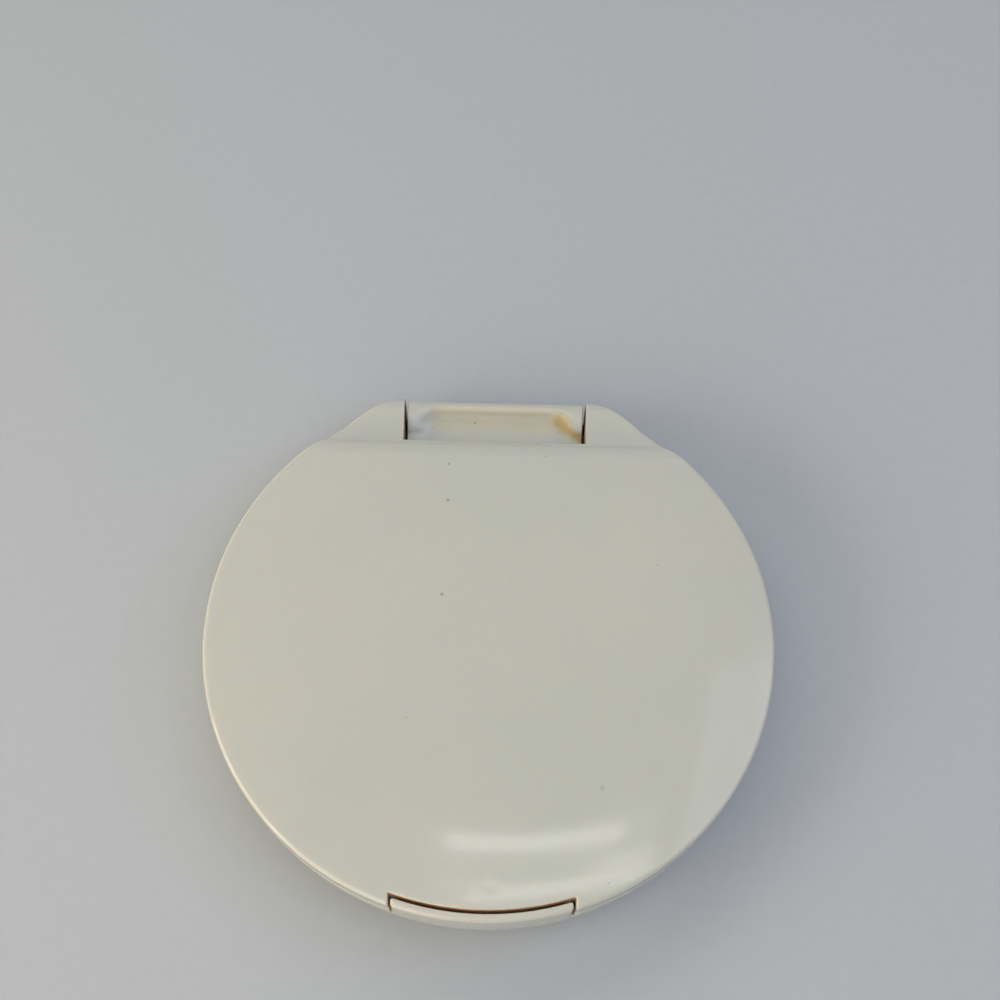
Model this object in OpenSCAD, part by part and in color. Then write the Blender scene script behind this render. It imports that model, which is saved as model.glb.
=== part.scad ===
// Round folding pocket mirror in moulded plastic.
// The origin is the centre of the round case on the surface it lies on.
// +Y points to the hinge, +Z points up, and the lid is shut.

/* [Case] */
// Radius of the round case
case_r = 35; // [33:0.5:38]
// Height of the base's rim above the surface it lies on
base_h = 6.55; // [6.3:0.05:7.5]
// Thickness of the lid
lid_h = 3.3; // [3.1:0.05:4]
// Gap between the lid's rim and the base's rim
seam_gap = 0.15; // [0.1:0.01:0.3]
// Wall thickness of the base
base_wall = 1.2; // [1:0.05:1.4]
// Wall thickness of the lid's rim
lid_wall = 1.2; // [1:0.05:1.4]
// Thickness of the lid's top plate
lid_plate_t = 1.1; // [1:0.05:1.2]
// Radius of the curve that draws the base in to its foot
base_edge_r = 4.6; // [4.2:0.1:5]
// Edge round between the lid's side and its top
lid_edge_r = 0.5; // [0.3:0.05:0.8]
// Radius of the flat middle of the lid's top
crown_flat_r = 24; // [20:1:27]
// Radius of the gentle curve from that flat down to the rim
crown_curve_r = 180; // [120:10:400]

/* [Rear bevel] */
// Distance from the case's rear rim in to the straight edge where the bevel starts
bevel_inset = 10.3; // [10:0.1:10.7]
// Angle of the bevel below the lid's top
bevel_angle = 37.4; // [34:0.2:40]
// Edge round between the lid's top and the bevel
bevel_edge_r = 0.8; // [0.4:0.1:1.2]
// Distance from the case's rear rim in to the lid's edge in front of the lug
rear_notch_inset = 8.3; // [8:0.1:8.5]

/* [Hinge] */
// Distance from the case's rear rim in to the hinge axis
hinge_inset = 3.15; // [2.5:0.05:3.3]
// Height of the ears' level tops above the base's rim
ear_rise = 1; // [0.3:0.05:1]
// How much smaller than the ears' round the lug's round is
lug_step = 0.25; // [0.2:0.05:0.6]
// Gap between the ears and the surface the case lies on
ear_foot_gap = 0.25; // [0.15:0.05:0.5]
// Half the width of the lug at the hinge axis
lug_half_w = 12.05; // [11:0.05:12.6]
// Gap between the lug and each ear at the hinge axis
ear_gap = 0.4; // [0.35:0.05:0.6]
// Angle by which each end of the lug spreads towards the rear
lug_splay_angle = 2; // [0:0.2:2]
// Angle by which the inner face of each ear spreads towards the rear
ear_splay_angle = 3.2; // [2:0.2:3.2]
// Radius of the round outline that both ears follow, seen from above
ear_outline_r = 26.9; // [26:0.1:28]
// How far that outline reaches behind the hinge axis at the ears' inner faces
ear_reach = 3.5; // [3:0.1:3.6]
// Radius of the hollow round between the bevel and the ears
ear_fillet_r = 1.5; // [0.8:0.1:2]
// Radius of the hinge pins
pin_r = 0.7; // [0.5:0.05:0.9]
// Length of each hinge pin
pin_len = 9; // [7.5:0.1:9.2]
// How far each pin reaches into the lug
pin_in_lug = 4; // [2.5:0.1:4.5]
// Radial clearance of the pin where it turns in the lug
pin_running_gap = 0.04; // [0.02:0.01:0.08]
// Radial clearance of the pin where it is pressed into the ear
pin_press_gap = 0.01; // [0.01:0.01:0.02]

/* [Lug trough] */
// Height of the lug's flat front part above the hinge axis
web_rise = 2.25; // [2:0.05:2.4]
// Height of the trough's floor above the hinge axis
trough_rise = 1.6; // [1.4:0.1:1.9]
// Distance from the hinge axis back to the trough's rear edge
trough_lip = 1; // [0.6:0.1:1.3]
// Radius of the hollow curve from the trough's floor up to its rear edge
trough_curve_r = 2.2; // [1.9:0.1:3]
// Half the width of the trough at its rear edge
trough_rear_half_w = 9.7; // [9:0.1:10]
// Angle by which each end of the trough spreads towards the front
trough_flare_angle = 28; // [20:1:35]
// Angle by which each end of the trough leans out from upright
trough_lean_angle = 36; // [25:1:45]

/* [Latch] */
// Half the width of the notch in the lid's front edge
notch_half_w = 10.35; // [9.5:0.05:11]
// Distance that the notch cuts in from the rim
notch_depth = 1.3; // [1.25:0.05:1.45]
// Gap between the button and the back of the notch
button_gap = 0.4; // [0.4:0.01:0.45]
// Gap at each end of the button
button_end_gap = 0.3; // [0.2:0.05:0.4]
// Round at the two inner corners of the button, seen from above
button_corner_r = 0.35; // [0.2:0.05:0.5]
// Height of the button's lower edge
button_z = 3.6; // [3.5:0.05:3.9]
// Gap between the button's lower edge and the sill under it
sill_gap = 0.2; // [0.15:0.05:0.3]
// Half the width of the button's guide plate
guide_half_w = 8; // [7:0.1:9]
// Height of the underside of the guide plate
guide_z = 4.05; // [4.05:0.01:4.1]
// Thickness of the guide plate
guide_t = 1.05; // [0.9:0.05:1.1]
// Half the width of the lid's hook
hook_half_w = 3.3; // [2.6:0.1:3.6]
// Thickness of the hook
hook_t = 1.1; // [1:0.05:1.2]
// Reach of the barb at the hook's end
barb_reach = 0.6; // [0.5:0.05:0.7]
// Height of the hook's lower end
hook_z = 3; // [3:0.05:3.1]
// Height of the barb
barb_h = 0.9; // [0.8:0.05:0.95]
// Overlap of the barb and the guide plate that catches it
catch_overlap = 0.25; // [0.2:0.01:0.3]
// Clearance at each side of the hook
hook_side_gap = 0.45; // [0.3:0.05:0.6]
// Thickness of the leaf spring
spring_t = 0.2; // [0.15:0.01:0.3]
// Half the length of the leaf spring
spring_half_w = 4.6; // [4:0.1:5]
// Width of the leaf spring's strip
spring_w = 0.9; // [0.7:0.05:0.95]

/* [Mirrors] */
// Room between the mirrors' front edge and the wall behind the leaf spring
mirror_front_gap = 0.6; // [0.4:0.05:1.5]
// Room between the collar behind the mirrors and the rear edge of its frame
mirror_rear_gap = 0.05; // [0.05:0.05:0.8]
// Thickness of the flat mirror in the lid
lid_glass_t = 1.2; // [1:0.05:1.25]
// Thickness of the pad behind the flat mirror
lid_pad_t = 0.25; // [0.2:0.01:0.3]
// Thickness of the magnifying mirror at its edge
base_glass_t = 2; // [1.6:0.05:2.4]
// Radius of the magnifying mirror's hollow face
base_glass_curve_r = 600; // [500:10:1000]
// Thickness of the pad behind the magnifying mirror
base_pad_t = 0.3; // [0.2:0.05:0.5]
// Width of each frame's lip over the edge of its mirror
frame_lip = 0.8; // [0.5:0.05:1.2]
// Thickness of the frame in the lid
lid_frame_t = 0.6; // [0.5:0.05:0.65]
// Thickness of the frame in the base
base_frame_t = 0.9; // [0.7:0.05:1]
// Depth of the lid's frame inside the lid's rim
lid_frame_depth = 0.1; // [0.05:0.01:0.2]
// Depth of the base's frame below the base's rim
base_frame_depth = 0.35; // [0.25:0.01:0.4]
// Thickness of the collar round each mirror
collar_t = 0.8; // [0.6:0.05:0.85]

/* [Hidden] */
$fn = 96;
// Overrun of every cut past the face it opens
cut = 1;
// Clearance between two pieces of one body that are laid together
seat_gap = 0.05;
// Clearance between a frame's edge and the wall round it
frame_gap = 0.25;
// Clearance between a mirror's edge and its collar
glass_gap = 0.1;

foot_r = case_r - base_edge_r;
lid_z = base_h + seam_gap;
top_z = lid_z + lid_h;
lid_under_z = top_z - lid_plate_t;

hinge_y = case_r - hinge_inset;
ear_top_z = base_h + ear_rise;
// Radius of the ears round the hinge axis
ear_r = (ear_top_z - ear_foot_gap) / 2;
// Radius of the lug round the hinge axis
lug_r = ear_r - lug_step;
hinge_z = ear_foot_gap + ear_r;
ear_x = lug_half_w + ear_gap;
ear_outline_y = hinge_y + ear_reach - sqrt(ear_outline_r * ear_outline_r - ear_x * ear_x);
// Clearance between the ears and the wall of the base in front of them
ear_front_gap = 0.35;
base_rear_y = hinge_y - ear_r - ear_front_gap;
// Round along the lower rear edge of the base
base_rear_edge_r = 2;
// Thickness of the base's wall in front of the lug
base_rear_wall = 2.55;
// Thickness of the lid's wall in front of the lug
lid_rear_wall = 2.1;
bevel_y = case_r - bevel_inset;
rear_notch_y = case_r - rear_notch_inset;
base_hollow_y = base_rear_y - base_rear_wall;
lid_hollow_y = rear_notch_y - lid_rear_wall;

crown_run = case_r - lid_edge_r - crown_flat_r;
crown_drop = crown_curve_r - sqrt(crown_curve_r * crown_curve_r - crown_run * crown_run);
crown_rim_z = top_z - crown_drop;
// Number of sides that stand for the crown's very large circle
crown_sides = 1440;

trough_z = hinge_z + trough_rise;
trough_lip_z = hinge_z + lug_r;
trough_front_y = rear_notch_y + seam_gap;
trough_lip_y = hinge_y + trough_lip;
// Distance between the trough's rear edge and the centre of its hollow curve
trough_curve_run = sqrt(trough_curve_r * trough_curve_r - pow(trough_curve_r - trough_lip_z + trough_z, 2));
pin_inner_x = lug_half_w - pin_in_lug;

notch_r = case_r - notch_depth;
button_r = notch_r + button_gap;
button_half_w = notch_half_w - button_end_gap;
hook_inner_r = notch_r - hook_t;
barb_tip_r = hook_inner_r - barb_reach;
catch_r = barb_tip_r + catch_overlap;
// Depth of the guide plate behind the edge that the barb catches
catch_depth = 1.05;
guide_rear_y = catch_r - catch_depth;
hook_window_half_w = hook_half_w + hook_side_gap;
// Clearance round the hook in the sill
hook_pocket_gap = 0.3;
// Width of the two rails under the guide plate and distance between them
rail_w = 1.4;
rail_x = 5;
// Clearance between the rails and the guide plate
rail_gap = 0.1;
rail_z = guide_z - rail_gap;

// Wall of the base's frame that the leaf spring leans on
spring_wall_t = 0.9;
spring_wall_half_w = spring_half_w + spring_wall_t;
// Room between that wall and the guide plate
spring_room = 1.1;
spring_wall_y = guide_rear_y - spring_room;
spring_z = guide_z + (guide_t - spring_w) / 2;
spring_rise = spring_room - 2 * seat_gap;
spring_curve_r = (spring_half_w * spring_half_w + spring_rise * spring_rise) / (2 * spring_rise);

base_frame_top_z = base_h - base_frame_depth;
base_frame_z = base_frame_top_z - base_frame_t;
base_glass_z = base_frame_z - seat_gap - base_glass_t;
base_pad_z = base_glass_z - base_pad_t;
lid_frame_z = lid_z + lid_frame_depth;
lid_glass_z = lid_under_z - lid_pad_t - lid_glass_t;
lid_pad_z = lid_under_z - lid_pad_t;

mirror_front_y = spring_wall_y - spring_wall_t - mirror_front_gap;
mirror_rear_y = lid_hollow_y - frame_gap - collar_t - glass_gap - mirror_rear_gap;
mirror_r = (mirror_front_y + mirror_rear_y) / 2;
// Distance that the mirrors lie in front of the centre of the case
mirror_shift = (mirror_front_y - mirror_rear_y) / 2;
frame_hole_r = mirror_r - frame_lip;
collar_inner_r = mirror_r + glass_gap;
collar_outer_r = collar_inner_r + collar_t;
// Number of rings that make up the magnifying mirror's hollow face
hollow_steps = 12;
// Width of the concentric ribs that carry the magnifying mirror
rib_w = 1;
rib_radii_shares = [0.3, 0.62, 0.92];

ivory = [0.83, 0.81, 0.72];
steel = [0.72, 0.73, 0.75];
silver = [0.86, 0.88, 0.9];
foam = [0.9, 0.9, 0.86];

// Runs an outline of depth and height along the hinge direction.
module along_x(from_x, to_x) {
    translate([from_x, 0, 0])
        rotate([90, 0, 90])
            linear_extrude(to_x - from_x)
                children();
}

// Draws its children and their mirror image on the other side.
module both_sides() {
    children();
    mirror([1, 0, 0])
        children();
}

// Block at the front of the case, as wide as twice half_w.
module front_block(half_w, low_z, high_z) {
    translate([-half_w, -case_r - cut, low_z])
        cube([2 * half_w, case_r + cut, high_z - low_z]);
}

// Half of the dish's section, moved in by a wall thickness.
module dish_section(inset, high_z) {
    translate([0, inset])
        square([foot_r, high_z - inset]);
    translate([0, base_edge_r])
        square([case_r - inset, high_z - base_edge_r]);
    intersection() {
        translate([foot_r, base_edge_r])
            circle(r = base_edge_r - inset);
        translate([foot_r, inset])
            square(base_edge_r - inset);
    }
}

// Half of the lid's section: flat middle, gentle crown, rounded edge.
module lid_section() {
    edge_r = case_r - lid_edge_r;
    translate([0, lid_z])
        square([crown_flat_r, lid_h]);
    intersection() {
        translate([crown_flat_r, top_z - crown_curve_r])
            circle(r = crown_curve_r, $fn = crown_sides);
        translate([0, lid_z])
            square([edge_r, lid_h]);
    }
    translate([0, lid_z])
        square([case_r, crown_rim_z - lid_edge_r - lid_z]);
    translate([edge_r, crown_rim_z - lid_edge_r])
        circle(r = lid_edge_r);
}

// Everything in front of the base's rear wall, with a round along its foot.
module base_side_section() {
    low_y = -case_r - cut;
    translate([low_y, 0])
        square([base_rear_y - base_rear_edge_r - low_y, base_h]);
    translate([low_y, base_rear_edge_r])
        square([base_rear_y - low_y, base_h - base_rear_edge_r]);
    translate([base_rear_y - base_rear_edge_r, base_rear_edge_r])
        circle(r = base_rear_edge_r);
}

// Outline of the hollow inside the base, moved in by a clearance.
module base_hollow_outline(inset) {
    intersection() {
        circle(r = case_r - base_wall - inset);
        translate([-case_r, -case_r])
            square([2 * case_r, case_r + base_hollow_y - inset]);
    }
}

// Outline of the hollow inside the lid, moved in by a clearance.
module lid_hollow_outline(inset) {
    wall_half_w = notch_half_w + lid_wall + inset;
    difference() {
        intersection() {
            circle(r = case_r - lid_wall - inset);
            translate([-case_r, -case_r])
                square([2 * case_r, case_r + lid_hollow_y - inset]);
        }
        difference() {
            translate([-wall_half_w, -case_r])
                square([2 * wall_half_w, case_r]);
            circle(r = notch_r - lid_wall - inset);
        }
    }
}

// Outline seen from above, whose sides spread towards the rear.
module splayed_outline(half_w, angle, front_y, rear_y) {
    front_half_w = half_w + (front_y - hinge_y) * tan(angle);
    rear_half_w = half_w + (rear_y - hinge_y) * tan(angle);
    polygon([
        [-front_half_w, front_y],
        [front_half_w, front_y],
        [rear_half_w, rear_y],
        [-rear_half_w, rear_y],
    ]);
}

// Everything between the right-hand end face of the trough and the middle.
module trough_end() {
    block = 4 * lug_half_w;
    translate([trough_rear_half_w, trough_lip_y, trough_lip_z])
        rotate([0, 0, trough_flare_angle])
            rotate([0, trough_lean_angle, 0])
                translate([-block, -block / 2, -block / 2])
                    cube(block);
}

// Trough scooped out of the top of the lug, wider at its front than at its rear.
module trough_cut() {
    curve_y = trough_lip_y - trough_curve_run;
    intersection() {
        along_x(-lug_half_w, lug_half_w) {
            translate([trough_front_y, trough_z])
                square([curve_y - trough_front_y, top_z - trough_z]);
            translate([curve_y, trough_z + trough_curve_r])
                circle(r = trough_curve_r);
        }
        trough_end();
        mirror([1, 0, 0])
            trough_end();
    }
}

// Hinge lug: a round bar joined to the base by a web.
module lug() {
    web_y = base_rear_y - base_rear_wall / 2;
    rear_y = hinge_y + lug_r;
    intersection() {
        along_x(-case_r, case_r) {
            translate([hinge_y, hinge_z])
                circle(r = lug_r);
            translate([web_y, hinge_z - lug_r])
                square([hinge_y - web_y, web_rise + lug_r]);
        }
        linear_extrude(top_z)
            splayed_outline(lug_half_w, lug_splay_angle, web_y, rear_y);
    }
}

// Concentric ribs on the floor of the base, under the magnifying mirror.
module seat_ribs() {
    for (share = rib_radii_shares)
        translate([0, -mirror_shift, base_wall / 2])
            difference() {
                cylinder(r = mirror_r * share + rib_w / 2, h = base_pad_z - base_wall / 2);
                translate([0, 0, -cut])
                    cylinder(r = mirror_r * share - rib_w / 2, h = base_pad_z + cut);
            }
}

// Rails that the button's guide plate slides on.
module guide_rails() {
    rail_len = catch_r - spring_wall_y;
    both_sides()
        translate([rail_x, -catch_r, base_wall / 2])
            cube([rail_w, rail_len, rail_z - base_wall / 2]);
}

module base_shell() {
    color(ivory)
        difference() {
            union() {
                difference() {
                    intersection() {
                        rotate_extrude()
                            dish_section(0, base_h);
                        along_x(-case_r, case_r)
                            base_side_section();
                    }
                    intersection() {
                        rotate_extrude()
                            dish_section(base_wall, base_h + cut);
                        linear_extrude(base_h + cut)
                            base_hollow_outline(0);
                    }
                }
                lug();
                seat_ribs();
                guide_rails();
            }
            button_slot();
            hook_pocket();
            both_sides()
                hinge_bore(pin_inner_x, lug_half_w + cut, pin_r + pin_running_gap);
            trough_cut();
        }
}

// Opening in the base's front wall for the button.
module button_slot() {
    difference() {
        front_block(notch_half_w, button_z - sill_gap, base_h + cut);
        translate([0, 0, -cut])
            cylinder(r = catch_r, h = top_z + 2 * cut);
    }
}

// Pocket in the sill that the lower end of the hook drops into.
module hook_pocket() {
    pocket_z = hook_z - sill_gap;
    intersection() {
        front_block(hook_window_half_w, pocket_z, base_h + cut);
        rotate_extrude()
            translate([barb_tip_r - hook_pocket_gap, pocket_z])
                square([notch_r + hook_pocket_gap - (barb_tip_r - hook_pocket_gap), base_h]);
    }
}

// Round hole or pin along the hinge axis on the right-hand side.
module hinge_bore(from_x, to_x, radius) {
    translate([from_x, hinge_y, hinge_z])
        rotate([0, 90, 0])
            cylinder(r = radius, h = to_x - from_x);
}

// Everything under the lid's top and in front of its bevel, with a round between them.
module lid_side_section() {
    low_y = -case_r - cut;
    foot_y = bevel_y + lid_h / tan(bevel_angle);
    edge_run = bevel_edge_r * tan(bevel_angle / 2);
    edge_y = bevel_y - edge_run;
    edge_z = top_z - bevel_edge_r;
    difference() {
        polygon([
            [low_y, lid_z],
            [foot_y, lid_z],
            [bevel_y, top_z],
            [low_y, top_z],
        ]);
        difference() {
            polygon([
                [edge_y, edge_z],
                [edge_y, top_z + cut],
                [bevel_y + cut, top_z + cut],
                [edge_y + (bevel_edge_r + cut) * sin(bevel_angle), edge_z + (bevel_edge_r + cut) * cos(bevel_angle)],
            ]);
            translate([edge_y, edge_z])
                circle(r = bevel_edge_r);
        }
    }
}

// Hollow round where the bevel runs out into an ear.
module ear_fillet_section() {
    corner_y = bevel_y + (top_z - ear_top_z) / tan(bevel_angle);
    run = ear_fillet_r * tan(bevel_angle / 2);
    difference() {
        polygon([
            [corner_y - run * cos(bevel_angle), lid_z],
            [corner_y + run, lid_z],
            [corner_y + run, ear_top_z],
            [corner_y - run * cos(bevel_angle), ear_top_z + run * sin(bevel_angle)],
        ]);
        translate([corner_y + run, ear_top_z + ear_fillet_r])
            circle(r = ear_fillet_r);
    }
}

// Hinge ear on the right-hand side, with its top level and its outline round.
module ear() {
    root_y = rear_notch_y - lid_rear_wall / 2;
    intersection() {
        along_x(pin_inner_x, case_r) {
            translate([hinge_y, hinge_z])
                circle(r = ear_r);
            translate([root_y, lid_z])
                square([hinge_y - root_y, ear_top_z - lid_z]);
            ear_fillet_section();
        }
        translate([0, ear_outline_y, 0])
            cylinder(r = ear_outline_r, h = top_z);
    }
}

// Space for the lug between the two ears.
module lug_space() {
    translate([0, 0, -cut])
        linear_extrude(top_z + 2 * cut)
            splayed_outline(ear_x, ear_splay_angle, rear_notch_y, hinge_y + ear_r + cut);
}

// Hook that hangs from the back of the front notch, with its barb pointing inwards.
module hook() {
    barb_lead = barb_h / 2;
    intersection() {
        rotate_extrude() {
            translate([hook_inner_r, hook_z])
                square([hook_t, lid_under_z - hook_z]);
            polygon([
                [hook_inner_r + hook_t / 2, hook_z],
                [hook_inner_r, hook_z],
                [barb_tip_r, hook_z + barb_lead],
                [barb_tip_r, hook_z + barb_h],
                [hook_inner_r + hook_t / 2, hook_z + barb_h],
            ]);
        }
        front_block(hook_half_w, 0, top_z);
    }
}

module lid_shell() {
    color(ivory) {
        difference() {
            union() {
                difference() {
                    intersection() {
                        rotate_extrude()
                            lid_section();
                        along_x(-case_r, case_r)
                            lid_side_section();
                    }
                    translate([0, 0, lid_z - cut])
                        linear_extrude(lid_under_z - lid_z + cut)
                            lid_hollow_outline(0);
                }
                both_sides()
                    ear();
            }
            lug_space();
            both_sides()
                hinge_bore(pin_inner_x, case_r, pin_r + pin_press_gap);
            difference() {
                front_block(notch_half_w, 0, top_z + cut);
                translate([0, 0, -cut])
                    cylinder(r = notch_r, h = top_z + 3 * cut);
            }
        }
        hook();
    }
}

// Curved strip that fills the notch, with the guide plate behind it.
module latch_button() {
    color(ivory) {
        difference() {
            intersection() {
                rotate_extrude()
                    intersection() {
                        union() {
                            dish_section(0, lid_z);
                            lid_section();
                        }
                        translate([button_r, button_z])
                            square([notch_depth, top_z - button_z]);
                    }
                front_block(button_half_w, 0, top_z);
            }
            translate([0, 0, lid_z])
                linear_extrude(top_z)
                    both_sides()
                        button_corner();
        }
        translate([0, 0, guide_z])
            linear_extrude(guide_t)
                difference() {
                    intersection() {
                        circle(r = button_r + (case_r - button_r) / 2);
                        translate([-guide_half_w, -case_r])
                            square([2 * guide_half_w, case_r - guide_rear_y]);
                    }
                    difference() {
                        intersection() {
                            circle(r = button_r);
                            translate([-hook_window_half_w, -case_r])
                                square([2 * hook_window_half_w, case_r]);
                        }
                        circle(r = catch_r);
                    }
                }
    }
}

// What the round at the button's right-hand inner corner takes away.
module button_corner() {
    centre_x = button_half_w - button_corner_r;
    centre_r = button_r + button_corner_r;
    centre_y = -sqrt(centre_r * centre_r - centre_x * centre_x);
    inner_share = (button_r - cut) / centre_r;
    difference() {
        polygon([
            [centre_x, centre_y],
            [button_half_w + cut, centre_y],
            [button_half_w + cut, centre_y * inner_share],
            [centre_x * inner_share, centre_y * inner_share],
        ]);
        translate([centre_x, centre_y])
            circle(r = button_corner_r);
    }
}

// Arched leaf between the guide plate and the base's frame.
module latch_spring() {
    color(steel)
        translate([0, 0, spring_z])
            linear_extrude(spring_w)
                intersection() {
                    translate([0, spring_curve_r - guide_rear_y + seat_gap])
                        difference() {
                            circle(r = spring_curve_r);
                            circle(r = spring_curve_r - spring_t);
                        }
                    translate([-spring_half_w, -guide_rear_y])
                        square([2 * spring_half_w, spring_room - seat_gap]);
                }
}

module hinge_pin_right() {
    color(steel)
        hinge_bore(pin_inner_x + seat_gap, pin_inner_x + pin_len, pin_r);
}

module hinge_pin_left() {
    mirror([1, 0, 0])
        hinge_pin_right();
}

module lid_mirror() {
    color(silver)
        translate([0, -mirror_shift, lid_glass_z])
            cylinder(r = mirror_r, h = lid_glass_t);
}

module lid_mirror_pad() {
    color(foam)
        translate([0, -mirror_shift, lid_pad_z])
            cylinder(r = mirror_r - frame_lip, h = lid_pad_t);
}

// Trim plate in the lid, with its collar round the mirror.
module lid_frame() {
    color(ivory) {
        translate([0, 0, lid_frame_z])
            linear_extrude(lid_frame_t)
                difference() {
                    lid_hollow_outline(frame_gap);
                    translate([0, -mirror_shift])
                        circle(r = frame_hole_r);
                }
        translate([0, -mirror_shift, lid_frame_z])
            linear_extrude(lid_under_z - seat_gap - lid_frame_z)
                difference() {
                    circle(r = collar_outer_r);
                    circle(r = collar_inner_r);
                }
    }
}

// Depth of the magnifying mirror's hollow face below its edge, at a distance from the middle.
function hollow_depth(r) =
    sqrt(base_glass_curve_r * base_glass_curve_r - r * r)
    - sqrt(base_glass_curve_r * base_glass_curve_r - mirror_r * mirror_r);

// Magnifying mirror: its face is a shallow hollow.
module base_mirror() {
    color(silver)
        translate([0, -mirror_shift, base_glass_z])
            rotate_extrude()
                polygon([
                    [0, 0],
                    [mirror_r, 0],
                    for (i = [hollow_steps:-1:0])
                        [mirror_r * i / hollow_steps, base_glass_t - hollow_depth(mirror_r * i / hollow_steps)],
                ]);
}

module base_mirror_pad() {
    color(foam)
        translate([0, -mirror_shift, base_pad_z])
            cylinder(r = mirror_r - frame_lip, h = base_pad_t);
}

// Trim plate in the base, with its collar and the wall behind the spring.
module base_frame() {
    slot_rear_y = barb_tip_r - hook_pocket_gap;
    color(ivory)
        difference() {
            union() {
                translate([0, 0, base_frame_z])
                    linear_extrude(base_frame_t)
                        difference() {
                            base_hollow_outline(frame_gap);
                            translate([0, -mirror_shift])
                                circle(r = frame_hole_r);
                        }
                translate([0, -mirror_shift, base_wall + seat_gap])
                    linear_extrude(base_frame_z + seat_gap - base_wall)
                        difference() {
                            circle(r = collar_outer_r);
                            circle(r = collar_inner_r);
                        }
                translate([-spring_wall_half_w, -spring_wall_y, rail_z + seat_gap])
                    cube([2 * spring_wall_half_w, spring_wall_t, base_frame_z + seat_gap - rail_z]);
            }
            translate([-hook_window_half_w, -case_r, base_frame_z - cut])
                cube([2 * hook_window_half_w, case_r - slot_rear_y, base_frame_t + 2 * cut]);
        }
}

base_shell();
lid_shell();
latch_button();
latch_spring();
hinge_pin_left();
hinge_pin_right();
lid_mirror();
lid_mirror_pad();
lid_frame();
base_mirror();
base_mirror_pad();
base_frame();
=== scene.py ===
# %% [markdown]
# A folding pocket mirror, lying shut on a pale surface
#
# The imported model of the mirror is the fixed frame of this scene. It
# already holds every solid part at its real size: both shells, the
# button, the hinge pins and the mirrors inside.
# Blender's work here is the look: moulded edges, plastic, light, camera.

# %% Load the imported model
import math

import bpy
import numpy as np
from mathutils import Matrix, Vector


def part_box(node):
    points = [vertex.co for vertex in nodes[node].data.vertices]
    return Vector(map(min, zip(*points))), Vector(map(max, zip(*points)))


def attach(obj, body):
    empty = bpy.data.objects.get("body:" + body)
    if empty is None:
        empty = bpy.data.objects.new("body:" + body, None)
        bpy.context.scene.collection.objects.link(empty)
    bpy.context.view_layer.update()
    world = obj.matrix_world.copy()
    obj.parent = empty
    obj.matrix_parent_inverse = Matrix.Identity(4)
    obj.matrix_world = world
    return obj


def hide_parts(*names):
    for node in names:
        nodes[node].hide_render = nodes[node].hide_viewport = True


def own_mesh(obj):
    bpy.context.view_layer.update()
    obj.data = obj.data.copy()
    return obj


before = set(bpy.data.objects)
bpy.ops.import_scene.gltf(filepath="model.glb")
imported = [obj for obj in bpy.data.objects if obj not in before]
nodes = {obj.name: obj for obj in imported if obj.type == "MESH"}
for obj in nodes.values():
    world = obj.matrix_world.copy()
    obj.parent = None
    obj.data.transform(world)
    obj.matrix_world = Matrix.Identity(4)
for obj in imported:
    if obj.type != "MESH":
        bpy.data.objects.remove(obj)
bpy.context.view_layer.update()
MM = 0.001
print("parts:", len(nodes))

# %% [markdown]
# The camera
#
# The photograph was taken from the front, looking down steeply.
# Its focal length and place come from the round outline of the case,
# which shows as an ellipse, and from the corners of hinge and latch.
# A camera that is only aimed at the object holds the picture level, and
# this one doesn't, so its axes are worked out from tilt, turn and roll.

# %% Camera
FOCAL_PX = 1157.0
PHOTO_PX = 1000
SENSOR_MM = 36
TILT, TURN, ROLL = math.radians(28.466), math.radians(-0.119), math.radians(1.489)
CAMERA_MM = Vector((0.79, -54.49, 141.82))
NEAREST_MM = 5


def camera_axes():
    """The directions to the camera's right, up from it, and behind it."""
    look = Vector((-math.sin(TILT) * math.sin(TURN), math.sin(TILT) * math.cos(TURN), -math.cos(TILT)))
    level = Vector((math.cos(TURN), math.sin(TURN), 0))
    upward = level.cross(look)
    right = level * math.cos(ROLL) + upward * math.sin(ROLL)
    up = upward * math.cos(ROLL) - level * math.sin(ROLL)
    return right, up, -look


def place_camera():
    data = bpy.data.cameras.new("camera")
    data.sensor_width = SENSOR_MM
    data.lens = FOCAL_PX * SENSOR_MM / PHOTO_PX
    data.clip_start = NEAREST_MM * MM
    camera = bpy.data.objects.new("camera", data)
    bpy.context.scene.collection.objects.link(camera)
    turned = Matrix(camera_axes()).transposed().to_4x4()
    camera.matrix_world = Matrix.Translation(CAMERA_MM * MM) @ turned
    bpy.context.scene.camera = camera
    print("lens:", round(data.lens, 1), "mm")


place_camera()

# %% [markdown]
# Moulded shells as distance fields
#
# The lid, the base and the button are injection moulded, so no edge on
# them is knife sharp: each has a small round that catches the light.
# The rounds could be bevelled onto a mesh, but a bevel breaks up where a
# curved wall runs into the round of the hinge.
# A distance field has no such trouble. It is a formula that says how far
# a point is from the surface, and it is below zero inside the plastic.
# Two fields can be cut or joined with a round of any radius.

# %% Rounded cuts and joins of two fields
def cut_round(a, b, radius):
    """Keeps what lies inside both fields, with a round along their shared edge."""
    reach = np.hypot(np.maximum(a + radius, 0), np.maximum(b + radius, 0))
    return np.minimum(np.maximum(a, b), -radius) + reach


def join_round(a, b, radius):
    """Keeps what lies inside either field, with a hollow round along their seam."""
    return -cut_round(-a, -b, radius)


def between(value, low, high):
    """A slab: below zero from low to high."""
    return np.maximum(low - value, value - high)


print("a round of 1 mm takes", round(float(cut_round(0, 0, 1)), 2), "mm off a square edge")

# %% [markdown]
# Sizes are in millimetres, and are those of the solids underneath, so
# that each skin lies on its own solid. The outermost ones are read off
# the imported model.

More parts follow.
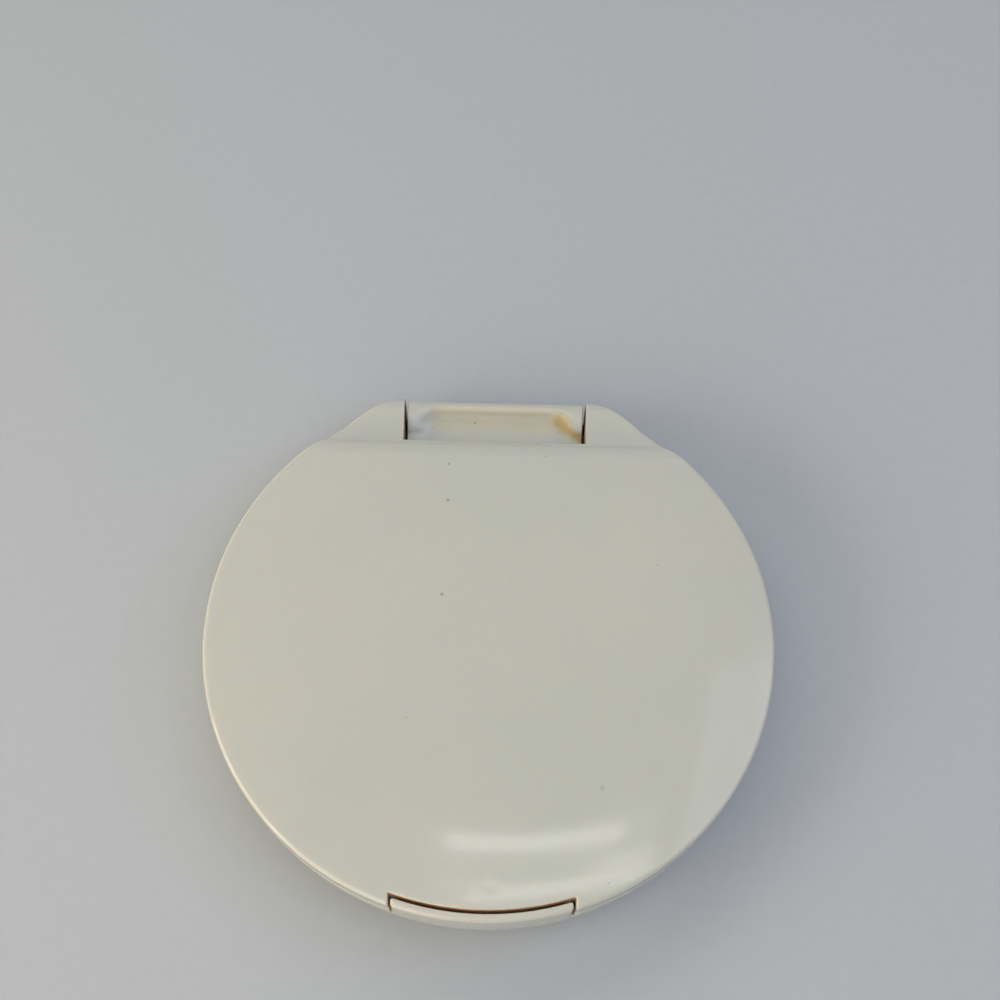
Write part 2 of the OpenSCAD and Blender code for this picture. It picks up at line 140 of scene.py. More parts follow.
# %% Sizes that the shells share
CASE_R = round(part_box("base_shell")[1].x / MM, 2)
TOP_Z = round(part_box("lid_shell")[1].z / MM, 2)
RIM_Z = 6.55
LID_Z = 6.7
EDGE_ROUND = 0.2
SLIT_ROUND = 0.07
HINGE_Y, HINGE_Z = 31.85, 3.9
BORE_R, BORE_END_X = 0.71, 8.05
NOTCH_HALF_W, NOTCH_R = 10.35, 33.7
HOOK_HALF_W, HOOK_INNER_R, HOOK_Z = 3.3, 32.6, 3.0
CATCH_R = 32.25
MIRROR_SHIFT = 2.6
print("case", 2 * CASE_R, "mm across and", TOP_Z, "mm thick")


def from_axis(y, z):
    """Distance from the hinge axis."""
    return np.hypot(y - HINGE_Y, z - HINGE_Z)


# %% [markdown]
# The lid
#
# Its top is flat in the middle and falls off very gently to the rim.
# Behind, a straight bevel runs down to two hinge ears.
# A moulder would draw the same surfaces: a turned profile and a slope.
# Two shallow sinks mark where the plastic of the hook's root shrank.

# %% Lid: outer surfaces
CROWN_FLAT_R, CROWN_CURVE_R = 24.0, 180.0
RIM_ROUND = 0.5
BEVEL_Y, BEVEL_ANGLE, BEVEL_ROUND = 24.7, math.radians(37.4), 0.8
SINK_PLACES = ((-2.7, -31.2), (0.8, -31.2))
SINK_DEPTH, SINK_SPREAD = 0.012, 0.9


def crown_height(x, y):
    """Height of the lid's top, with the shallow sinks over the hook's root."""
    run = np.clip(np.hypot(x, y) - CROWN_FLAT_R, 0, CASE_R)
    height = TOP_Z - CROWN_CURVE_R + np.sqrt(CROWN_CURVE_R**2 - run**2)
    for sink_x, sink_y in SINK_PLACES:
        spread = ((x - sink_x) ** 2 + (y - sink_y) ** 2) / SINK_SPREAD**2
        height = height - SINK_DEPTH * np.exp(-spread)
    return height


def lid_outside(x, y, z):
    """The round block of the lid, with its crown, bevel and lower edge."""
    top = z - crown_height(x, y)
    bevel = (y - BEVEL_Y) * math.sin(BEVEL_ANGLE) + (z - TOP_Z) * math.cos(BEVEL_ANGLE)
    top = cut_round(top, bevel, BEVEL_ROUND)
    body = cut_round(top, np.hypot(x, y) - CASE_R, RIM_ROUND)
    return cut_round(body, LID_Z - z, EDGE_ROUND)


print("the crown falls", round(float(TOP_Z - crown_height(CASE_R, 0)), 2), "mm to the rim")

# %% [markdown]
# Each ear is a short round bar on the hinge axis, with a block that ties
# it to the lid. One arc seen from above trims both, so that the case's
# outline runs on into them.

# %% Lid: hinge ears
EAR_R, EAR_TOP_Z = 3.65, 7.55
EAR_ROOT_Y = 25.65
EAR_OUTLINE_R, EAR_OUTLINE_Y = 26.9, 11.59
EAR_INNER_X, EAR_SPLAY = 12.45, math.radians(3.2)
EAR_FILLET = 1.5
REAR_NOTCH_Y = 26.7


def hinge_ears(x, y, z):
    """Bar and block of both ears, from the bores' inner ends outwards."""
    block = np.maximum(between(y, EAR_ROOT_Y, HINGE_Y), between(z, LID_Z, EAR_TOP_Z))
    side = np.minimum(from_axis(y, z) - EAR_R, block)
    side = np.maximum(side, BORE_END_X - np.abs(x))
    outline = np.hypot(x, y - EAR_OUTLINE_Y) - EAR_OUTLINE_R
    return cut_round(side, outline, 2 * EDGE_ROUND)


def lug_space(x, y):
    """The opening between the ears, a little wider behind."""
    face = EAR_INNER_X + (y - HINGE_Y) * math.tan(EAR_SPLAY)
    return np.maximum((np.abs(x) - face) * math.cos(EAR_SPLAY), REAR_NOTCH_Y - y)


print("ears", 2 * EAR_R, "mm thick,", 2 * EAR_INNER_X, "mm apart")

# %% [markdown]
# Inside, the lid is hollow, with a wall round the notch for the button.
# A hook hangs from that wall, and its barb catches under the button's
# plate. All of this shows only once the lid is open.

# %% Lid: hollow, notch and hook
LID_INNER_R, LID_INNER_Y, LID_INNER_Z = 33.8, 24.6, 8.9
NOTCH_WALL = 1.2
BARB_TIP_R, BARB_H = 32.0, 0.9
LEAD_SINE, LEAD_COSINE = 0.6, 0.8


def lid_hollow(x, y, z):
    """The room for mirror and frame, which leaves the notch its wall."""
    r = np.hypot(x, y)
    room = np.maximum(r - LID_INNER_R, y - LID_INNER_Y)
    behind_notch = np.maximum(np.abs(x) - NOTCH_HALF_W - NOTCH_WALL, NOTCH_R - NOTCH_WALL - r)
    room = np.maximum(room, -np.maximum(behind_notch, y))
    return cut_round(room, z - LID_INNER_Z, 2 * EDGE_ROUND)


def front_notch(x, y, half_w, radius):
    """Everything in front of a round wall, as wide as twice half_w."""
    return np.maximum(np.maximum(np.abs(x) - half_w, radius - np.hypot(x, y)), y)


def hook(x, y, z):
    """A stem with a barb, whose ramp pushes the button's plate aside."""
    r = np.hypot(x, y)
    stem = np.maximum(between(r, HOOK_INNER_R, NOTCH_R), between(z, HOOK_Z, LID_INNER_Z))
    barb = np.maximum(between(r, BARB_TIP_R, NOTCH_R), between(z, HOOK_Z, HOOK_Z + BARB_H))
    ramp = (HOOK_INNER_R - r) * LEAD_SINE + (HOOK_Z - z) * LEAD_COSINE
    barb = np.maximum(barb, ramp)
    width = np.maximum(np.abs(x) - HOOK_HALF_W, y)
    return cut_round(np.minimum(stem, barb), width, EDGE_ROUND / 2)


print("lid wall", round(CASE_R - LID_INNER_R, 2), "mm, top", round(TOP_Z - LID_INNER_Z, 2), "mm")

# %% [markdown]
# These forms are joined and cut one after the other. Two rounds change
# along their edge: the one at the ears' root grows with the height, and
# the one along the rear notch gets finer where it runs into the slits
# beside the lug.

# %% Lid: the whole field
SLIT_BLEND_START, SLIT_BLEND_W = 1.5, 0.7


def lid_field(x, y, z):
    """Depth below the lid's surface, counted as minus."""
    lid = lid_outside(x, y, z)
    rise = np.clip((z - LID_Z) / (EAR_TOP_Z - LID_Z), 0, 1)
    lid = join_round(lid, hinge_ears(x, y, z), EDGE_ROUND + rise * (EAR_FILLET - EDGE_ROUND))
    lid = cut_round(lid, -lid_hollow(x, y, z), EDGE_ROUND)
    at_slit = np.clip((np.abs(x) - EAR_INNER_X + SLIT_BLEND_START) / SLIT_BLEND_W, 0, 1)
    lid = cut_round(lid, -lug_space(x, y), EDGE_ROUND + at_slit * (SLIT_ROUND - EDGE_ROUND))
    bore = np.maximum(from_axis(y, z) - BORE_R, BORE_END_X - np.abs(x))
    lid = cut_round(lid, -bore, EDGE_ROUND / 2)
    lid = cut_round(lid, -front_notch(x, y, NOTCH_HALF_W, NOTCH_R), EDGE_ROUND)
    return np.minimum(lid, hook(x, y, z))


print("the field half a millimetre under the lid's top:", round(float(lid_field(0, 0, TOP_Z - 0.5)), 2))

# %% [markdown]
# The base
#
# A shallow dish with a large round at its foot, cut straight behind for
# the hinge. Its inside is the outside again, one wall thickness in.
# Rings carry the mirror, and two rails carry the button's plate.

# %% Base: dish
FOOT_ROUND = 4.6
BASE_WALL, REAR_FOOT_ROUND = 1.2, 2.0
BASE_REAR_Y, BASE_INNER_Y = 27.85, 25.3
RIB_RADII, RIB_HALF_W, RIB_Z = (7.8, 16.12, 23.92), 0.5, 2.95
RAIL_X, RAIL_HALF_W, RAIL_Z = 5.7, 0.7, 3.95
RAIL_FRONT_Y, RAIL_REAR_Y = -32.25, -30.1


def dish(x, y, z):
    """The base without its hinge and openings."""
    r = np.hypot(x, y)
    outside = cut_round(r - CASE_R, -z, FOOT_ROUND)
    outside = np.maximum(outside, cut_round(y - BASE_REAR_Y, -z, REAR_FOOT_ROUND))
    outside = cut_round(outside, z - RIM_Z, EDGE_ROUND)
    inside = cut_round(r - CASE_R + BASE_WALL, BASE_WALL - z, FOOT_ROUND - BASE_WALL)
    inside = np.maximum(inside, y - BASE_INNER_Y)
    return cut_round(outside, -inside, EDGE_ROUND)


def seat_ribs_and_rails(x, y, z):
    """Rings under the mirror and rails under the button, rooted in the floor."""
    from_mirror_axis = np.hypot(x, y + MIRROR_SHIFT)
    floor = BASE_WALL / 2 - z
    seats = np.maximum(between(np.abs(x), RAIL_X - RAIL_HALF_W, RAIL_X + RAIL_HALF_W), z - RAIL_Z)
    seats = np.maximum(seats, between(y, RAIL_FRONT_Y, RAIL_REAR_Y))
    for radius in RIB_RADII:
        ring = between(from_mirror_axis, radius - RIB_HALF_W, radius + RIB_HALF_W)
        seats = np.minimum(seats, np.maximum(ring, z - RIB_Z))
    return np.maximum(seats, floor)


print("base", RIM_Z, "mm high, wall", BASE_WALL, "mm, ribs:", len(RIB_RADII))

# %% [markdown]
# The hinge lug stands between the lid's ears. Its top is scooped out to
# a trough: a flat floor that an arc rounds up behind, cut to length by
# two slanted planes. Large rounds at its ends and lip make it soft.

# %% Base: hinge lug and its trough
LUG_R, LUG_HALF_W, LUG_SPLAY = 3.4, 12.07, math.radians(1)
WEB_Y, WEB_TOP_Z = 26.575, 6.15
TROUGH_Z, TROUGH_FRONT_Y, TROUGH_LIP_Y = 5.5, 26.85, 32.85
TROUGH_CURVE_R = 2.2
SCOOP_ROUND, LIP_ROUND = 1.4, 0.7
TROUGH_HALF_W = 9.7
TROUGH_FLARE, TROUGH_LEAN = math.radians(28), math.radians(36)
LUG_TOP_Z = HINGE_Z + LUG_R


def hinge_lug(x, y, z):
    """The bar that the ears turn on, with the web that ties it to the dish."""
    web = np.maximum(between(y, WEB_Y, HINGE_Y), between(z, HINGE_Z - LUG_R, WEB_TOP_Z))
    bar = np.minimum(from_axis(y, z) - LUG_R, web)
    half_w = LUG_HALF_W + (y - HINGE_Y) * math.tan(LUG_SPLAY)
    return cut_round(bar, np.abs(x) - half_w, SLIT_ROUND)


def trough(x, y, z):
    """The room that the scoop takes out of the lug's top."""
    centre_z = TROUGH_Z + TROUGH_CURVE_R
    centre_y = TROUGH_LIP_Y - math.sqrt(TROUGH_CURVE_R**2 - (centre_z - LUG_TOP_Z) ** 2)
    curve = np.hypot(y - centre_y, z - centre_z) - TROUGH_CURVE_R
    floor = np.maximum(TROUGH_Z - z, np.maximum(y - centre_y, TROUGH_FRONT_Y - y))
    scoop = np.minimum(curve, floor)
    out_x = math.cos(TROUGH_LEAN) * math.cos(TROUGH_FLARE) * (np.abs(x) - TROUGH_HALF_W)
    out_y = math.cos(TROUGH_LEAN) * math.sin(TROUGH_FLARE) * (y - TROUGH_LIP_Y)
    end = out_x + out_y - math.sin(TROUGH_LEAN) * (z - LUG_TOP_Z)
    return cut_round(scoop, end, SCOOP_ROUND)


print("trough", round(LUG_TOP_Z - TROUGH_Z, 2), "mm deep at its lip")
print("slit beside the lug", round(EAR_INNER_X - LUG_HALF_W, 2), "mm wide")

# %% [markdown]
# The openings come last: a slot in the front wall for the button, a
# deeper pocket for the hook, a bore for the pin on either side, and the
# trough.

# %% Base: openings
SLOT_Z = 3.4
POCKET_HALF_W, POCKET_Z = 3.75, 2.8
POCKET_INNER_R, POCKET_OUTER_R = 31.7, 34.0
LUG_BORE_R = 0.74


def base_field(x, y, z):
    """Depth below the base's surface, counted as minus."""
    base = join_round(dish(x, y, z), hinge_lug(x, y, z), EDGE_ROUND)
    base = np.minimum(base, seat_ribs_and_rails(x, y, z))
    slot = np.maximum(front_notch(x, y, NOTCH_HALF_W, CATCH_R), SLOT_Z - z)
    base = cut_round(base, -slot, EDGE_ROUND)
    pocket = np.maximum(between(np.hypot(x, y), POCKET_INNER_R, POCKET_OUTER_R), POCKET_Z - z)
    pocket = np.maximum(pocket, np.maximum(np.abs(x) - POCKET_HALF_W, y))
    base = np.maximum(base, -pocket)
    bore = np.maximum(from_axis(y, z) - LUG_BORE_R, BORE_END_X - np.abs(x))
    base = np.maximum(base, -bore)
    return cut_round(base, -trough(x, y, z), LIP_ROUND)


print("bores", 2 * BORE_R, "mm in the ears,", 2 * LUG_BORE_R, "mm in the lug")

# %% [markdown]
# The button
#
# A curved strip that fills the notch and follows both shells' outsides.
# Behind it a flat plate slides on rails and catches the lid's hook.

# %% Button
STRIP_INNER_R, STRIP_HALF_W, STRIP_Z = 34.1, 10.05, 3.6
PLATE_Z, PLATE_TOP_Z = 4.05, 5.1
PLATE_HALF_W, PLATE_REAR_Y, PLATE_OUTER_R = 8.0, -31.2, 34.55


def button_field(x, y, z):
    """Depth below the button's surface, counted as minus."""
    r = np.hypot(x, y)
    outside = cut_round(r - CASE_R, -z, FOOT_ROUND)
    outside = cut_round(outside, z - crown_height(x, y), RIM_ROUND)
    strip = cut_round(outside, STRIP_INNER_R - r, EDGE_ROUND)
    strip = cut_round(strip, np.abs(x) - STRIP_HALF_W, 1.5 * EDGE_ROUND)
    strip = cut_round(strip, np.maximum(STRIP_Z - z, y), EDGE_ROUND)
    plate = np.maximum(between(z, PLATE_Z, PLATE_TOP_Z), np.abs(x) - PLATE_HALF_W)
    plate = np.maximum(plate, np.maximum(r - PLATE_OUTER_R, y - PLATE_REAR_Y))
    window = np.maximum(np.abs(x) - POCKET_HALF_W, between(r, CATCH_R, STRIP_INNER_R))
    return np.minimum(strip, np.maximum(plate, -window))


print("gap behind the button", round(STRIP_INNER_R - NOTCH_R, 2), "mm")
print("gap at its ends", round(NOTCH_HALF_W - STRIP_HALF_W, 2), "mm")

# %% [markdown]
# From field to mesh
#
# The slope of a field is measured by trying points a little to either
# side. It says which way the surface lies, so a point near the surface
# can be slid onto it. On a crease the slope can come out almost flat and
# would throw the point far off. It is then taken as a little steeper,
# and no move is longer than one grid cell.

# %% Slope of a field
GRID_MM = 0.22
SLOPE_STEP_MM = 0.004
LEAST_SLOPE_SQUARED = 0.05
TINY = 1e-9


def slope(field, points):
    """Direction in which the field grows fastest at each point, and how fast."""
    columns = []
    for axis in range(3):
        step = np.zeros(3)
        step[axis] = SLOPE_STEP_MM
        ahead, behind = (points + step).T, (points - step).T
        columns.append((field(*ahead) - field(*behind)) / (2 * SLOPE_STEP_MM))
    return np.stack(columns, axis=1)


def settle(field, points, rounds):
    """Slides points onto the surface of a field."""
    for _ in range(rounds):
        way = slope(field, points)
        size = np.maximum((way**2).sum(axis=1), LEAST_SLOPE_SQUARED)
        move = way * (field(*points.T) / size)[:, None]
        length = np.linalg.norm(move, axis=1)[:, None]
        points = points - move * np.minimum(1, GRID_MM / np.maximum(length, TINY))
    return points


print("slope on the lid's top:", slope(lid_field, np.array([[0.0, 0.0, TOP_Z]]))[0].round(2))

# %% [markdown]
# The field is measured on a fine grid. Each grid cell that the surface
# passes through gets one corner of the mesh, and each grid edge that
# crosses the surface gets one face between the four cells round it.

# %% Corners and faces from a grid
UNIT = np.eye(3, dtype=int)


def surface_cells(depth):
    """The grid cells that the surface passes through, and its middle in each."""
    inside = depth < 0
    corners_inside = sum(
        inside[i : i - 1 or None, j : j - 1 or None, k : k - 1 or None].astype(np.int8)
        for i in (0, 1) for j in (0, 1) for k in (0, 1)
    )
    cells = np.argwhere((corners_inside > 0) & (corners_inside < 8))
    total = np.zeros(cells.shape)
    count = np.zeros(len(cells))
    for axis in range(3):
        u, v = UNIT[axis - 2], UNIT[axis - 1]
        for corner in (0 * u, u, v, u + v):
            start = cells + corner
            a = depth[tuple(start.T)]
            b = depth[tuple((start + UNIT[axis]).T)]
            crossed = (a < 0) != (b < 0)
            share = np.where(crossed, a / np.where(crossed, a - b, 1), 0)
            total[crossed] += (start + share[:, None] * UNIT[axis])[crossed]
            count += crossed
    return cells, total / count[:, None]


def surface_faces(depth, cells):
    """One face for each grid edge that the surface crosses, facing outwards."""
    inside = depth < 0
    number = np.full(depth.shape, -1)
    number[tuple(cells.T)] = np.arange(len(cells))
    faces = []
    for axis in range(3):
        u, v = UNIT[axis - 2], UNIT[axis - 1]
        low = np.take(inside, range(depth.shape[axis] - 1), axis=axis)
        high = np.take(inside, range(1, depth.shape[axis]), axis=axis)
        edges = np.argwhere(low != high)
        ring = np.stack([number[tuple((edges - c).T)] for c in (0 * u, u, u + v, v)], axis=1)
        leaving = low[tuple(edges.T)]
        faces.append(np.where(leaving[:, None], ring, ring[:, ::-1]))
    return np.concatenate(faces)


print("grid cells across the case:", math.ceil(2 * CASE_R / GRID_MM))

# %% [markdown]
# The corners are slid onto the surface itself, so the rounds come out
# true although the grid is coarse. Flat areas need few faces, so a
# Decimate modifier thins them out. The slope of the field then gives
# each corner that is left its exact normal, and so the long reflections
# on the lid stay smooth.

# %% Skins of the shells and the button
GRID_MARGIN = 2.5
KEPT_FACES = 0.2


def grid_over(low, high):
    """Grid lines along X, Y and Z that reach past both corners."""
    margin = GRID_MARGIN * GRID_MM
    lines = [np.arange(a - margin, b + margin + GRID_MM, GRID_MM) for a, b in zip(low, high)]
    return np.meshgrid(*lines, indexing="ij", sparse=True)


def give_exact_normals(mesh, field):
    """Slides a thinned mesh back onto its field and takes the normals from it."""
    points = np.empty(len(mesh.vertices) * 3)
    mesh.vertices.foreach_get("co", points)
    points = settle(field, points.reshape(-1, 3) / MM, rounds=2)
    mesh.vertices.foreach_set("co", (points * MM).ravel())
    mesh.update()
    way = slope(field, points)
    way /= np.maximum(np.linalg.norm(way, axis=1), TINY)[:, None]
    mesh.polygons.foreach_set("use_smooth", np.ones(len(mesh.polygons), dtype=bool))
    mesh.normals_split_custom_set_from_vertices(way.tolist())


def mould(name, field, body):
    """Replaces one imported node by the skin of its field."""
    low, high = (np.array(corner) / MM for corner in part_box(name))
    grid = grid_over(low, high)
    depth = np.broadcast_to(field(*grid), np.broadcast_shapes(*(line.shape for line in grid)))
    cells, places = surface_cells(depth)
    origin = np.array([line.flat[0] for line in grid])
    points = settle(field, origin + places * GRID_MM, rounds=4)
    dense = bpy.data.meshes.new(name + "_dense")
    dense.from_pydata((points * MM).tolist(), [], surface_faces(depth, cells).tolist())
    skin = bpy.data.objects.new(name + "_skin", dense)
    bpy.context.scene.collection.objects.link(skin)
    thin = skin.modifiers.new("thin", "DECIMATE")
    thin.ratio = KEPT_FACES
    thinned = skin.evaluated_get(bpy.context.evaluated_depsgraph_get())
    skin.data = bpy.data.meshes.new_from_object(thinned)
    skin.modifiers.clear()
    give_exact_normals(skin.data, field)
    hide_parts(name)
    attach(skin, body)
    print(name, "skin:", len(skin.data.polygons), "faces")
    return skin


skins = {
    "lid_shell": mould("lid_shell", lid_field, "lid"),
    "base_shell": mould("base_shell", base_field, "base"),
    "latch_button": mould("latch_button", button_field, "button"),
}

# %% [markdown]
# Materials
#
# All patterns are drawn on the piece's own coordinates, turned to
# millimetres. A lump of half a millimetre is half a millimetre on the
# object at any camera distance, and it stays put when the lid opens.
# A Mix node has several inputs of each name, so its two colours go by
# their numbers.

# %% Colour and node helpers
COLOUR_A, COLOUR_B = 6, 7


def linear(hex_code):
    """An sRGB hex colour as the linear colour that Blender works in."""
    values = [int(hex_code[i : i + 2], 16) / 255 for i in (1, 3, 5)]
    return [v / 12.92 if v <= 0.04045 else ((v + 0.055) / 1.055) ** 2.4 for v in values] + [1]


def add(tree, kind, inputs=None, **settings):
    """Adds one node. An input is a value, a socket, or a node whose first output it takes."""
    node = tree.nodes.new(kind)
    for name, value in settings.items():
        setattr(node, name, value)
    for name, value in (inputs or {}).items():
        if isinstance(value, bpy.types.Node):
            value = next(out for out in value.outputs if out.enabled)
        if isinstance(value, bpy.types.NodeSocket):
            tree.links.new(value, node.inputs[name])
        else:
            node.inputs[name].default_value = value
    return node


def start_material(name):
    """A new material, and the place on the piece in millimetres."""
    material = bpy.data.materials.new(name)
    material.use_nodes = True
    tree = material.node_tree
    tree.nodes.clear()
    here = add(tree, "ShaderNodeTexCoord").outputs["Object"]
    place = add(tree, "ShaderNodeVectorMath", {0: here, "Scale": 1 / MM}, operation="SCALE")
    return material, tree, place


def finish_material(material, inputs):
    """Ends a material in one shader and says how many nodes it took."""
    tree = material.node_tree
    shader = add(tree, "ShaderNodeBsdfPrincipled", inputs)
    add(tree, "ShaderNodeOutputMaterial", {"Surface": shader})
    print(material.name + ":", len(tree.nodes), "nodes")


print("mid grey is", round(linear("#808080")[0], 3), "of white in linear light")

# %% [markdown]
# Wear, tints and a painted glow lie in certain places only. A mask is
# on, with the value 1, where a mark lies, and fades to 0 around it. It
# could be painted on an image, but a formula in millimetres needs no
# unwrapping.

# %% Masks of one mark
def mask_within(tree, far, reach, soft):
    """On while a distance is within reach, fading out over soft."""
    limits = {"Value": far, "From Min": reach, "From Max": reach + soft, "To Min": 1, "To Max": 0}
    return add(tree, "ShaderNodeMapRange", limits, interpolation_type="SMOOTHSTEP")


def mask_between(tree, value, low, high, soft):
    """On from low to high, fading out over soft on both sides."""
    off_middle = add(tree, "ShaderNodeMath", {0: value, 1: (low + high) / 2}, operation="SUBTRACT")
    off_middle = add(tree, "ShaderNodeMath", {0: off_middle}, operation="ABSOLUTE")
    return mask_within(tree, off_middle, (high - low) / 2, soft)


def mask_spot(tree, place, centre, radius, soft):
    """On within radius of a point, fading out over soft."""
    far = add(tree, "ShaderNodeVectorMath", {0: place, 1: centre}, operation="DISTANCE")
    return mask_within(tree, far, radius, soft)


def mask_stripe(tree, place, start, end, half_w, soft):
    """On within half_w of a straight line between two points, fading out over soft."""
    start, way = Vector(start), Vector(end) - Vector(start)
    from_start = add(tree, "ShaderNodeVectorMath", {0: place, 1: start}, operation="SUBTRACT")
    both = {0: from_start, 1: way / way.length_squared}
    along = add(tree, "ShaderNodeVectorMath", both, operation="DOT_PRODUCT").outputs["Value"]
    along = add(tree, "ShaderNodeMath", {0: along, 1: 0}, operation="ADD", use_clamp=True)
    nearest = add(tree, "ShaderNodeVectorMath", {0: way, "Scale": along}, operation="SCALE")
    far = add(tree, "ShaderNodeVectorMath", {0: from_start, 1: nearest}, operation="DISTANCE")
    return mask_within(tree, far, half_w, soft)


print("masks of one mark: within, between, spot, stripe")

# %% Masks put together
def mask_all(tree, *masks):
    """On where all the masks are on."""
    result = masks[0]
    for mask in masks[1:]:
        result = add(tree, "ShaderNodeMath", {0: result, 1: mask}, operation="MULTIPLY")
    return result


def mask_any(tree, *masks):
    """On where at least one of the masks is on."""
    result = masks[0]
    for mask in masks[1:]:
        result = add(tree, "ShaderNodeMath", {0: result, 1: mask}, operation="MAXIMUM")
    return result


def aside_y_z(tree, place):
    """Distance from the middle plane, and the place along Y and along Z."""
    axis = add(tree, "ShaderNodeSeparateXYZ", {0: place}).outputs
    aside = add(tree, "ShaderNodeMath", {0: axis["X"]}, operation="ABSOLUTE")
    return aside, axis["Y"], axis["Z"]


print("masks put together: all, any")

# %% [markdown]
# Ivory ABS, injection moulded in a polished mould
#
# The shells, the button and the mirror frames are ABS, dyed through.
# It gives the eye a calm, faintly milky colour with a soft gloss: the
# light sinks in a little before it comes back, which subsurface
# scattering does, so narrow gaps glow warm instead of going black.
# The polish isn't perfect. The plastic shrank as it cooled, so long
# reflections waver, and pocket wear left fine hairlines on the lid.
# A hairline is a lump of noise drawn out along one direction, of which
# only the highest levels are kept. Real ones are thinner than a pixel,
# so these are drawn as wide as they need to show.

# %% Ivory: wavering polish and hairlines
WAVER_MM, WAVER_DEPTH_MM = 10, 0.006
SKIN_MM, SKIN_DEPTH_MM = 0.45, 0.0004
HAIRLINE_WIDTH_MM, HAIRLINE_DEPTH_MM = 0.12, 0.0003
HAIRLINE_ANGLES = (20, 75, 140)
HAIRLINE_LUMP, HAIRLINE_STRETCH = 6, 0.03
HAIRLINE_LEVELS = {"From Min": 0.71, "From Max": 0.78}
TOP_DEPTH_MM, TOP_SOFT_MM = 0.5, 0.1
PAST_MM = 1


def hairlines(tree, place):
    """Thin straight scratches on the lid's top in a few directions, from 0 to 1."""
    lines = []
    lump_mm = HAIRLINE_LUMP * HAIRLINE_WIDTH_MM
    for angle in HAIRLINE_ANGLES:
        turn = {"Vector": place, "Angle": math.radians(angle)}
        turned = add(tree, "ShaderNodeVectorRotate", turn, rotation_type="Z_AXIS")
        stretch = {0: turned, 1: (HAIRLINE_STRETCH, 1, 1)}
        drawn = add(tree, "ShaderNodeVectorMath", stretch, operation="MULTIPLY")
        noise = add(tree, "ShaderNodeTexNoise", {"Vector": drawn, "Scale": 1 / lump_mm, "Detail": 1})
        lines.append(add(tree, "ShaderNodeMapRange", {"Value": noise, **HAIRLINE_LEVELS}))
    height = add(tree, "ShaderNodeSeparateXYZ", {0: place}).outputs["Z"]
    on_top = mask_between(tree, height, TOP_Z - TOP_DEPTH_MM, TOP_Z + PAST_MM, TOP_SOFT_MM)
    return mask_all(tree, mask_any(tree, *lines), on_top)


def polish(tree, place, scratched):
    """Bump of the polished skin, from heights in millimetres."""
    height = add(tree, "ShaderNodeMath", {0: scratched, 1: -HAIRLINE_DEPTH_MM}, operation="MULTIPLY")
    for size, depth in ((WAVER_MM, WAVER_DEPTH_MM), (SKIN_MM, SKIN_DEPTH_MM)):
        noise = add(tree, "ShaderNodeTexNoise", {"Vector": place, "Scale": 1 / size, "Detail": 1})
        height = add(tree, "ShaderNodeMath", {0: noise, 1: depth, 2: height}, operation="MULTIPLY_ADD")
    return add(tree, "ShaderNodeBump", {"Height": height, "Distance": MM, "Strength": 1})


print("the polish wavers by", 1000 * WAVER_DEPTH_MM, "micrometres over", WAVER_MM, "mm")

# %% [markdown]
# Small dark specks sit in and on the plastic of a used case. Each has a
# place seen from above, a size across, and how strongly it shows.

# %% Ivory: specks
SPECKS_MM = (
    (-5.8, 16.8, 0.2, 0.6), (-6.0, 3.5, 0.2, 0.6), (-5.9, 22.2, 0.16, 0.6), (6.8, 23.7, 0.12, 0.35),
    (5.9, 26.3, 0.14, 0.8), (-2.8, 31.4, 0.16, 0.6), (13.4, -20.1, 0.3, 0.2), (13.9, -30.6, 0.1, 0.4),
    (-9.5, -12.4, 0.1, 0.4), (21.0, 8.2, 0.1, 0.4),
)
SPECK_HEX = "#6A6252"
FROM_ABOVE = (1, 1, 0)


def specks(tree, place):
    """The strongest speck at each place seen from above."""
    flat = add(tree, "ShaderNodeVectorMath", {0: place, 1: FROM_ABOVE}, operation="MULTIPLY")
    spots = []
    for x, y, size, strength in SPECKS_MM:
        spot = mask_spot(tree, flat, (x, y, 0), size / 2, size)
        spots.append(add(tree, "ShaderNodeMath", {0: spot, 1: strength}, operation="MULTIPLY"))
    return mask_any(tree, *spots)


print("specks:", len(SPECKS_MM), "up to", max(speck[2] for speck in SPECKS_MM), "mm across")

# %% [markdown]
# Near the top of the gap round the button, the walls are painted a
# light warm peach: a painted glow that lightens the shade in the gap.
# The walls of the slits between the ears and the lug are painted dark
# brown. The glow ends in a ragged line, since noise shifts the height at
# which it is measured.

# %% Ivory: painted glow in the button gap, brown in the slits
# Painted glow: the first colour lightens the shaded gap round the button; the second is a dark brown for
# the slits.
GAP_GLOW_HEX, SLIT_BROWN_HEX = "#F0C494", "#8A6A4C"
WALL_OVERLAP_MM, WALL_SOFT_MM = 0.02, 0.04
GAP_SIDE_SOFT_MM = 0.05
GAP_OUTER_MM, GAP_OUTER_SOFT_MM = 0.4, 0.2
FRONT_SOFT_MM = 1
RAGGED_MM, RAGGED_BY_MM = 0.7, 0.8
GLOW_DEEP_MM, GLOW_SHALLOW_MM, GLOW_SOFT_MM = 1.5, 0.1, 0.5
SLIT_BROWN_HALF_W_MM, SLIT_WALL_SOFT_MM, SLIT_END_SOFT_MM = 0.24, 0.02, 0.1


